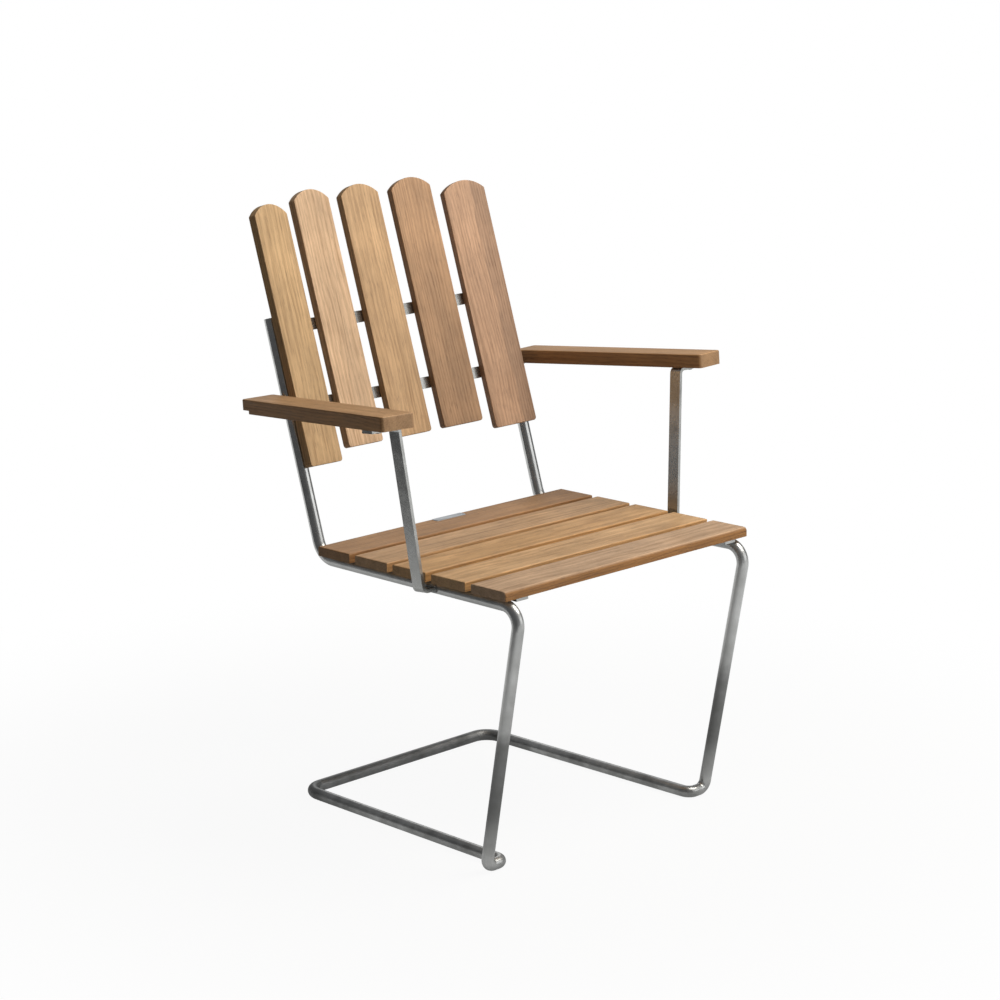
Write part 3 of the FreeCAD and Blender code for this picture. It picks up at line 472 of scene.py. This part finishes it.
seat_up = Matrix.Rotation(-SEAT_FALL, 3, "X") @ Vector((0, 0, 1))
for i, (tone, bands) in enumerate(SEAT_BOARDS):
    name = "seat_slat_%d" % (i + 1)
    heart = (0.05 - 0.03 * i, -0.16 + 0.02 * i)
    slant = (5 - 3 * i, 3 * i - 6)
    edge = SEAT_EDGE_OIL_AND_SHADE if i else NOSE_OIL_AND_SHADE
    teak = oiled_teak("teak_" + name, (1, 0, 0), seat_up, middle_of(name), tone,
                      heart, slant, bands, 0.0, NO_SHADE_FADE, edge)
    finish_with(nodes[name], teak)
print("teak on", len(SEAT_BOARDS), "seat slats")

# %% [markdown]
# ## The back boards
# The back slats stand up the leaning uprights and turn with the curve of the back. One pattern over the whole
# back would make them look cut from one sheet, so each one's grain and face are worked out from the lean and
# its own turn. Each board is darker at its lower end than at its upper end, which is painted shade. The last
# one has a dark stripe down one side, cut slightly aslant.

# %% Teak on the back
RECLINE = math.radians(18.0)
BACK_TURNS = (-11.5, -5.9, 0.0, 5.9, 11.5)      # degrees from facing straight ahead
STRIPED = ((0.0, 0.78), (0.34, 0.80), (0.37, 1.05), (0.8, 1.08), (1.0, 1.0))
STRIPE_LEAN = -0.032                 # the striped board's stripe, sideways for each metre up
# Each board's last pair is painted shade: how light it is at its lower end and at its upper end.
BACK_BOARDS = (("#c19f74", EVEN, (0.90, 1.06)), ("#cdab87", HEARTED, (0.97, 1.02)),
               ("#bf9b72", EVEN, (0.97, 1.02)),
               ("#a88360", HEARTED, (0.86, 1.18)), ("#b58f70", STRIPED, (0.93, 1.03)))
BACK_EDGE_OIL_AND_SHADE = (0.82, 0.76, 0.66)

reclined = Matrix.Rotation(-RECLINE, 3, "X")
for i, (tone, bands, shade_fade) in enumerate(BACK_BOARDS):
    name = "back_slat_%d" % (i + 1)
    around = Matrix.Rotation(math.radians(-BACK_TURNS[i]), 3, "Z")
    up = reclined @ Vector((0, 0, 1))
    front = reclined @ around @ Vector((0, -1, 0))
    heart = (0.07 * (1 if i % 2 else -1), 0.14 - 0.025 * i)
    slant = (4 - 2 * i, 5 - 3 * i)
    lean = STRIPE_LEAN if bands is STRIPED else 0.0
    teak = oiled_teak("teak_" + name, up, front, middle_of(name), tone,
                      heart, slant, bands, lean, shade_fade, BACK_EDGE_OIL_AND_SHADE)
    finish_with(nodes[name], teak)
print("teak on", len(BACK_BOARDS), "back slats")

# %% [markdown]
# ## The arms
# The arms slope down to the back and spread towards the front. A pattern along the world's axes would run off
# their edges, so their grain is turned with them. They get the same finish as the slats, each in a tone of
# its own.

# %% Teak on the arms
ARM_SLOPE, ARM_TOE = math.radians(5.0), math.radians(7.8)
ARM_BOARDS = {"right": "#b38c63", "left": "#a58059"}
ARM_EDGE_OIL_AND_SHADE = (0.88, 0.80, 0.70)

sloped = Matrix.Rotation(-ARM_SLOPE, 3, "X")
for side, sign in (("right", -1), ("left", 1)):
    name = "arm_rest_" + side
    lie = sloped @ Matrix.Rotation(sign * ARM_TOE, 3, "Z")
    teak = oiled_teak("teak_" + name, lie @ Vector((0, 1, 0)), lie @ Vector((0, 0, 1)), middle_of(name),
                      ARM_BOARDS[side], (0.09 * sign, -0.12), (3, -4), EVEN, 0.0, NO_SHADE_FADE, ARM_EDGE_OIL_AND_SHADE)
    finish_with(nodes[name], teak)
print("teak on", len(ARM_BOARDS), "arms")

# %% [markdown]
# ## Galvanised steel: zones on the round bar
# The bar isn't one tone from the floor up. In the photograph it is bright just above the floor, dull along
# the lower legs, dark at the back of the floor loop, and smooth above the seat. Here that is painted into the
# zinc's colour: painted highlights at the feet and above the seat, painted shade on the lower legs and at the
# back under the seat. Several materials could show that, but they would meet in hard lines, so one material
# gets soft zones by place.

# %% Zones on the round bar
ZONE_TOP, UNEVEN = 0.45, 0.03       # height of the topmost stop, and how far clouds shift the zones
# Painted light and shade on the round bar against its height, as a share of that topmost height.
PAINTED_LIGHT_AND_SHADE = ((0.0, 0.85), (0.05, 1.5), (0.11, 1.1), (0.22, 0.62), (0.42, 0.68), (0.51, 1.35),
          (0.66, 1.5), (0.85, 1.3), (1.0, 1.35))


def bar_zones(tree, spot, clouds):
    """Painted light and shade on the round bar by its place on the chair, and what that place adds to its
    roughness.
    """
    place = add(tree, "ShaderNodeSeparateXYZ", {"Vector": spot})
    uneven = add(tree, "ShaderNodeMath", {
        0: clouds, 1: UNEVEN, 2: place.outputs["Z"]}, operation="MULTIPLY_ADD")
    share = add(tree, "ShaderNodeMapRange", {
        "Value": uneven.outputs[0], "From Min": UNEVEN / 2, "From Max": ZONE_TOP + UNEVEN / 2})
    zones = gain_along(tree, share.outputs[0], PAINTED_LIGHT_AND_SHADE, "EASE")
    # Painted shade at the back of the floor loop, under the seat.
    rearward = add(tree, "ShaderNodeMath", {
        0: place.outputs["Z"], 1: -4.0, 2: place.outputs["Y"]}, operation="MULTIPLY_ADD")
    painted_rear_shade = add(tree, "ShaderNodeMapRange", {
        "Value": rearward.outputs[0], "From Min": 0.05, "From Max": 0.14, "To Min": 1.0, "To Max": 0.5})
    gain = add(tree, "ShaderNodeMath", {0: zones, 1: painted_rear_shade.outputs[0]}, operation="MULTIPLY")
    blunted = add(tree, "ShaderNodeMapRange", {
        "Value": gain.outputs[0], "From Min": 0.45, "From Max": 1.2, "To Min": 0.22, "To Max": 0.0})
    smoothed = add(tree, "ShaderNodeMapRange", {
        "Value": uneven.outputs[0], "From Min": 0.43, "From Max": 0.50, "To Min": 0.0, "To Max": -0.16})
    change = add(tree, "ShaderNodeMath", {0: blunted.outputs[0], 1: smoothed.outputs[0]}, operation="ADD")
    return gain.outputs[0], change.outputs[0]


print("round bar:", len(PAINTED_LIGHT_AND_SHADE), "stops of tone up to", ZONE_TOP, "m")

# %% [markdown]
# ## Galvanised steel: the coat
# Hot-dip galvanising leaves a coat of zinc, dull grey, with soft cloudy patches and faint crystals a few
# millimetres wide. One grey with one roughness would look like plastic pipe, so clouds, crystals and grit
# change both. The same function serves for plainer metals too, with another grey and another shine.

# %% Galvanised finish
SPANGLE_MM = 7.0
CLOUD_MM = 30.0
GRIT_MM = 1.1                       # real grit is finer, so this is drawn coarser
DARK_ZINC, PALE_ZINC = (0.84, 0.84, 0.83), (1.13, 1.13, 1.13)       # against the middle tone


def galvanised(name, middle, polish, metal=0.9, zoned=False):
    """Zinc-coated steel with soft cloudy patches and faint crystals, and zones of painted light and shade if
    asked for.
    """
    material, output = empty_material(name)
    tree = material.node_tree
    spot = add(tree, "ShaderNodeTexCoord").outputs["Object"]
    clouds = add(tree, "ShaderNodeTexNoise", {
        "Vector": spot, "Scale": 1000 / CLOUD_MM, "Detail": 3.0, "Roughness": 0.5}).outputs["Fac"]
    crystals = add(tree, "ShaderNodeTexVoronoi", {
        "Vector": spot, "Scale": 1000 / SPANGLE_MM}, feature="SMOOTH_F1")
    flake = add(tree, "ShaderNodeSeparateColor", {"Color": crystals.outputs["Color"]})
    grit = add(tree, "ShaderNodeTexNoise", {"Vector": spot, "Scale": 1000 / GRIT_MM, "Detail": 2.0})
    flaked = add(tree, "ShaderNodeMath", {
        0: flake.outputs["Red"], 1: 0.15, 2: clouds}, operation="MULTIPLY_ADD")
    tone = add(tree, "ShaderNodeMath", {
        0: grit.outputs["Fac"], 1: 0.22, 2: flaked.outputs[0]}, operation="MULTIPLY_ADD").outputs[0]
    ramp = add(tree, "ShaderNodeValToRGB", {"Fac": tone})
    ramp.color_ramp.elements[0].position = 0.45
    ramp.color_ramp.elements[0].color = toned(linear(middle), DARK_ZINC)
    ramp.color_ramp.elements[1].position = 0.92
    ramp.color_ramp.elements[1].color = toned(linear(middle), PALE_ZINC)
    colour = ramp.outputs["Color"]
    roughness = add(tree, "ShaderNodeMapRange", {
        "Value": tone, "From Min": 0.5, "From Max": 0.9,
        "To Min": polish, "To Max": polish + 0.08}).outputs[0]
    if zoned:
        gain, change = bar_zones(tree, spot, clouds)
        # Painted light and shade by place.
        colour = add(tree, "ShaderNodeVectorMath", {0: colour, "Scale": gain}, operation="SCALE").outputs[0]
        roughness = add(tree, "ShaderNodeMath", {0: roughness, 1: change}, operation="ADD").outputs[0]
    relief = add(tree, "ShaderNodeBump", {"Height": tone, "Strength": 0.03, "Distance": 0.0004})
    zinc = add(tree, "ShaderNodeBsdfPrincipled", {
        "Base Color": colour, "Roughness": roughness, "Normal": relief.outputs[0], "Metallic": metal})
    tree.links.new(zinc.outputs[0], output.inputs["Surface"])
    return material


print("zinc: clouds", CLOUD_MM, "mm, crystals", SPANGLE_MM, "mm")

# %% [markdown]
# ## Which steel goes where
# The frame is a bent round bar. Posts, brackets, straps and irons are flat bar, and there are screws and a
# small plate. They could share one grey. The eye tells such pieces apart by their shine, so each kind gets
# its own.

# %% Steel on the frame, the flat bars, the screws and the plate
# Galvanised round bar: broad soft highlights, with zones of painted shade and painted highlights from the
# floor up.
round_bar = galvanised("galvanised_round_bar", "#a2a3a2", 0.30, zoned=True)
# Galvanised flat bar: smoother faces that mirror wood and floor faintly, through a mottled coat.
flat_bar = galvanised("galvanised_flat_bar", "#afb0ae", 0.22)
# Stainless steel, cold-formed: small bright heads that catch the light.
screw_steel = galvanised("stainless_screws", "#b4b4b3", 0.22)
# Satin-brushed steel: a pale, slightly blue plate with an even, blurred shine.
plate_metal = galvanised("satin_steel_plate", "#aab0b6", 0.30, metal=0.6)

for name, node in nodes.items():
    if name.endswith("_screws"):
        finish_with(node, screw_steel)
    elif name == "rear_plate":
        finish_with(node, plate_metal)
    elif name.startswith(("back_strap", "seat_iron", "arm_post", "arm_bracket")):
        finish_with(node, flat_bar)
    elif not name.startswith(("seat_slat", "back_slat", "arm_rest")):
        finish_with(node, round_bar)
print("zinc on the frame, the flat bars, the screws and the plate")

# %% [markdown]
# ## Where the bar bends
# Before a bend can be drawn, its ends and its centre are needed. They could be read off the CAD surface, but
# three corners of the bar's axis give them by plain geometry: an arc of the bend's radius that touches the
# leg and the rail. One side of the chair is enough, because the other is its mirror image.

# %% Axis of a front bend
BAR_RADIUS = 0.009
BEND_RADIUS = 0.027
SEAT_FRONT_Y = -0.282836
# Corners of the bar's axis on the chair's left, at the foot, and before and behind the seat.
FOOT_CORNER = Vector((0.238, SEAT_FRONT_Y + 0.058, BAR_RADIUS))
FRONT_CORNER = Vector((0.242, SEAT_FRONT_Y - 0.012, 0.4037))
REAR_CORNER = Vector((0.234, SEAT_FRONT_Y + 0.402, 0.400087))


def on_side(point, sign):
    """A point of the chair's left, on that side or mirrored to its right."""
    return Vector((sign * point.x, point.y, point.z))


def bend_points(sign):
    """Start, end and centre of a front bend's axis, and the direction of the leg."""
    foot, corner, rear = [on_side(point, sign) for point in (FOOT_CORNER, FRONT_CORNER, REAR_CORNER)]
    down, back = (foot - corner).normalized(), (rear - corner).normalized()
    half = down.angle(back) / 2
    reach = BEND_RADIUS / math.tan(half)
    centre = corner + (down + back).normalized() * (BEND_RADIUS / math.sin(half))
    return corner + down * reach, corner + back * reach, centre, down


print("left bend's centre", [round(v, 4) for v in bend_points(1)[2]])

# %% [markdown]
# ## The front bends
# The chair springs because its bar flexes, and the measured model puts all of that into the front bends.
# A CAD solid can't flex, so each bend is modelled again. A curve with a round bevel could do it. Here a ring
# of the bar's size is set at the top of the leg and spun round the bend's centre to the front of the rail,
# which gives clean rings that can bend.

# %% Front bends, spun from a ring
RING_SIDES, BEND_STEPS = 48, 24


def front_bend(side, sign):
    """One front bend, between the base and the seat."""
    start, end, centre, down = bend_points(sign)
    axis = (start - centre).cross(end - centre).normalized()
    sweep = (start - centre).angle(end - centre)
    bpy.ops.object.select_all(action="DESELECT")
    bpy.ops.mesh.primitive_circle_add(
        vertices=RING_SIDES, radius=BAR_RADIUS, location=start,
        rotation=down.to_track_quat("Z", "Y").to_euler())
    piece = bpy.context.object
    piece.name = "front_bend_bar_" + side
    bpy.ops.object.transform_apply(location=True, rotation=True, scale=True)
    bpy.ops.object.mode_set(mode="EDIT")
    bpy.ops.mesh.select_all(action="SELECT")
    bpy.ops.mesh.spin(steps=BEND_STEPS, angle=-sweep, center=centre, axis=axis)
    bpy.ops.mesh.select_all(action="SELECT")
    bpy.ops.mesh.remove_doubles(threshold=0.00001)
    bpy.ops.mesh.select_all(action="DESELECT")
    bpy.ops.mesh.select_non_manifold()
    bpy.ops.mesh.fill_holes(sides=0)
    bpy.ops.mesh.select_all(action="SELECT")
    bpy.ops.mesh.normals_make_consistent(inside=False)
    bpy.ops.object.mode_set(mode="OBJECT")
    bpy.ops.object.shade_smooth_by_angle(angle=math.radians(40))
    finish_with(piece, round_bar)
    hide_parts("front_bend_" + side)
    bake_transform(piece)
    return piece


for side, sign in (("right", -1), ("left", 1)):
    piece = front_bend(side, sign)

# %% [markdown]
# ## A weld bead
# The flat bars are welded to the round ones. A bead could be a bent tube, but a real one is a row of
# overlapping ripples, one for each dip of the wire. So it is extruded ring by ring from a small disc, and
# swells and shrinks on the way. Each kind is modelled once at the origin.

# %% A weld bead, extruded ring by ring
RIPPLE = 0.0022      # one dip of the wire
BEAD_SIDES = 14
BEAD_END, BEAD_DIP = 0.4, 0.84      # width at the ends and between two ripples


def weld_bead(length, width, height):
    """A rippled bead along x, centred on the origin."""
    ripples = round(length / RIPPLE)
    step = length / (2 * ripples)
    swells = [BEAD_END] + [1.0 if i % 2 else BEAD_DIP for i in range(1, 2 * ripples)] + [BEAD_END]
    bpy.ops.object.select_all(action="DESELECT")
    bpy.ops.mesh.primitive_circle_add(
        vertices=BEAD_SIDES, radius=swells[0] * width / 2, fill_type="NGON",
        location=(-length / 2, 0.0, 0.0), rotation=(0.0, math.radians(90), 0.0))
    bead = bpy.context.object
    bpy.ops.object.transform_apply(location=True, rotation=True, scale=True)
    bpy.ops.object.mode_set(mode="EDIT")
    bpy.ops.mesh.select_all(action="SELECT")
    for i, (before, after) in enumerate(zip(swells, swells[1:])):
        bpy.ops.mesh.extrude_region_move(TRANSFORM_OT_translate={"value": (step, 0.0, 0.0)})
        bpy.ops.transform.resize(value=(1.0, after / before, after / before),
                                 center_override=(step * (i + 1) - length / 2, 0.0, 0.0))
    bpy.ops.mesh.select_all(action="SELECT")
    bpy.ops.transform.resize(value=(1.0, 1.0, height / width), center_override=(0.0, 0.0, 0.0))
    bpy.ops.mesh.normals_make_consistent(inside=False)
    bpy.ops.object.mode_set(mode="OBJECT")
    bpy.ops.object.shade_smooth_by_angle(angle=math.radians(60))
    return bead


print("a bead has a ripple every", RIPPLE * 1000, "mm")

# %% [markdown]
# ## Copies in their places
# What repeats is modelled once. A linked copy would share one mesh and keep its place in the object, but here
# every copy gets a mesh of its own with its place inside it, as the CAD nodes have, so that patterns and
# poses fit. The copies of one kind are then joined into one piece.

# %% Copy, place and join
def set_copy(piece, place, turn):
    """A copy with its own mesh, set in its place."""
    copy = piece.copy()
    copy.data = piece.data.copy()
    bpy.context.scene.collection.objects.link(copy)
    bpy.ops.object.select_all(action="DESELECT")
    copy.select_set(True)
    bpy.context.view_layer.objects.active = copy
    copy.location = place
    copy.rotation_euler = turn.to_euler()
    bpy.ops.object.transform_apply(location=True, rotation=True, scale=True)
    return copy


def joined(name, parts):
    """One piece from several."""
    bpy.ops.object.select_all(action="DESELECT")
    for part in parts:
        part.select_set(True)
    bpy.context.view_layer.objects.active = parts[0]
    bpy.ops.object.join()
    parts[0].name = name
    return parts[0]


# Galvanised weld: a rough, dull lump of zinc over steel, darker than the bars beside it.
weld_zinc = galvanised("galvanised_weld", "#8f908f", 0.42)


def welds(name, size, spots):
    """All the beads of one kind, as one piece that moves with the seat."""
    bead = weld_bead(*size)
    piece = joined(name, [set_copy(bead, place, turn) for place, turn in spots])
    bpy.data.objects.remove(bead)
    finish_with(piece, weld_zinc)
    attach(piece, "seat")
    print(name, len(spots), "beads,", len(piece.data.polygons), "faces")


print("welds get", weld_zinc.name)

# %% [markdown]
# ## Where the welds are
# A flat bar that meets a round one is welded along both of its faces. So the beads lie a little above and
# below the end of each post and bracket, up the ends of the straps, and in short tacks between the irons and
# the rails. Places are worked out along the bar's own axis, so they follow the rails and uprights.

# %% Welds at the posts, brackets, straps and irons
ALONG_Y = Matrix.Rotation(math.radians(90), 3, "Z")
UPWARDS = Matrix.Rotation(math.radians(-90), 3, "Y")
BAR_LEAN = math.radians(17.4)
BEAD_LIFT = 0.0037                  # from the middle of a flat bar to the beads above and below it
POST_BEAD, POST_BEHIND, POST_OUT = (0.019, 0.0052, 0.0044), 0.157, 0.0094
BRACKET_BEAD, BRACKET_HEIGHT, BRACKET_OUT = (0.0135, 0.0052, 0.0044), 0.6196, 0.0098
STRAP_BEAD = (0.018, 0.0054, 0.005)
STRAP_ENDS = ((0.6137, Vector((-0.0068, -0.0060, 0.0))), (0.7259, Vector((-0.0077, -0.0049, 0.0))))
TACK_BEAD, TACKS_BEHIND = (0.016, 0.005, 0.004), (0.06, 0.19, 0.32)
TACK_ASIDE = Vector((-0.0075, 0.0, 0.005))


def on_rail(behind):
    """A point on the rail's axis, so far behind the front edge of the seat, on the chair's left."""
    share = (SEAT_FRONT_Y + behind - FRONT_CORNER.y) / (REAR_CORNER.y - FRONT_CORNER.y)
    return FRONT_CORNER.lerp(REAR_CORNER, share)


def on_upright(height):
    """A point on the upright's axis at a height above the floor, on the chair's left."""
    rise = height - REAR_CORNER.z
    return REAR_CORNER + Vector((0.0, rise * math.tan(BAR_LEAN), rise))


def both_sides(spots):
    """Spots on the chair's left, and the same ones mirrored to its right."""
    return [(on_side(place, sign), turn) for place, turn in spots for sign in (-1, 1)]


def above_and_below(middle, out):
    """Spots of the two beads beside a flat bar that leaves the round one sideways."""
    turn = sloped @ ALONG_Y
    return [(middle + sloped @ Vector((out, 0.0, lift)), turn) for lift in (-BEAD_LIFT, BEAD_LIFT)]


welds("post_welds", POST_BEAD, both_sides(above_and_below(on_rail(POST_BEHIND), POST_OUT)))
welds("bracket_welds", BRACKET_BEAD, both_sides(above_and_below(on_upright(BRACKET_HEIGHT), BRACKET_OUT)))
welds("strap_welds", STRAP_BEAD, both_sides(
    [(on_upright(height) + aside, reclined @ UPWARDS) for height, aside in STRAP_ENDS]))
welds("iron_tacks", TACK_BEAD, both_sides(
    [(on_rail(behind) + TACK_ASIDE, ALONG_Y) for behind in TACKS_BEHIND]))

# %% [markdown]
# ## The blank plate
# A thin metal plate is pinned to the rear slat, and it is left bare. Its CAD box is too sharp for a pressed
# plate. A bevel modifier would round all its edges alike, so a cube of its size gets large round corners
# first, from its upright edges, and then a soft upper edge.

# %% Plate with rounded corners
PLATE_SIZE = Vector((0.062, 0.014, 0.0008))
CORNER_RADIUS, EDGE_RADIUS = 0.0028, 0.0002


def select_edges(piece, wanted):
    """Selects the edges of a mesh that a test on their two ends picks."""
    bpy.ops.object.mode_set(mode="OBJECT")
    points = [v.co for v in piece.data.vertices]
    for edge in piece.data.edges:
        edge.select = wanted(points[edge.vertices[0]], points[edge.vertices[1]])
    bpy.ops.object.mode_set(mode="EDIT")


bpy.ops.object.select_all(action="DESELECT")
bpy.ops.mesh.primitive_cube_add(size=1.0, scale=PLATE_SIZE)
flat_plate = bpy.context.object
bpy.ops.object.transform_apply(location=True, rotation=True, scale=True)
bpy.ops.object.mode_set(mode="EDIT")
bpy.ops.mesh.select_mode(type="EDGE")
bpy.ops.mesh.select_all(action="DESELECT")
select_edges(flat_plate, lambda a, b: abs(a.z - b.z) > PLATE_SIZE.z / 2)
bpy.ops.mesh.bevel(offset=CORNER_RADIUS, segments=6)
bpy.ops.mesh.select_all(action="DESELECT")
select_edges(flat_plate, lambda a, b: min(a.z, b.z) > PLATE_SIZE.z / 4)
bpy.ops.mesh.bevel(offset=EDGE_RADIUS, segments=2)
bpy.ops.mesh.select_mode(type="VERT")
bpy.ops.object.mode_set(mode="OBJECT")
print("plate", [round(v, 4) for v in flat_plate.dimensions], "for", [round(v, 4) for v in PLATE_SIZE])

# %% [markdown]
# ## Two pins hold the plate
# A pin's head is a low dome. It could be turned from an outline. Half a ball, pressed flatter, is as good at
# this size. The plate and two copies of the pin are set on the slat, which falls a little to the back, and
# joined.

# %% Pins, and the plate in its place
PIN_RADIUS, PIN_RISE, PIN_INSET = 0.0014, 0.45, 0.0045

bpy.ops.object.select_all(action="DESELECT")
bpy.ops.mesh.primitive_uv_sphere_add(segments=20, ring_count=10, radius=PIN_RADIUS)
pin = bpy.context.object
bpy.ops.object.mode_set(mode="EDIT")
bpy.ops.mesh.select_all(action="SELECT")
bpy.ops.mesh.bisect(plane_co=(0, 0, 0), plane_no=(0, 0, 1), clear_inner=True, use_fill=True)
bpy.ops.mesh.select_all(action="SELECT")
bpy.ops.transform.resize(value=(1.0, 1.0, PIN_RISE), center_override=(0.0, 0.0, 0.0))
bpy.ops.mesh.normals_make_consistent(inside=False)
bpy.ops.object.mode_set(mode="OBJECT")

fallen = Matrix.Rotation(-SEAT_FALL, 3, "X")
spot = middle_of("rear_plate")
pin_places = [Vector((sign * (PLATE_SIZE.x / 2 - PIN_INSET), 0.0, PLATE_SIZE.z / 2)) for sign in (-1, 1)]
plate = joined("blank_plate", [set_copy(flat_plate, spot, fallen)]
               + [set_copy(pin, spot + fallen @ place, fallen) for place in pin_places])
for pattern in (flat_plate, pin):
    bpy.data.objects.remove(pattern)
bpy.ops.object.shade_smooth_by_angle(angle=math.radians(35))
finish_with(plate, plate_metal)
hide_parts("rear_plate")
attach(plate, "seat")
print("plate with pins", [round(v, 4) for v in plate.dimensions])
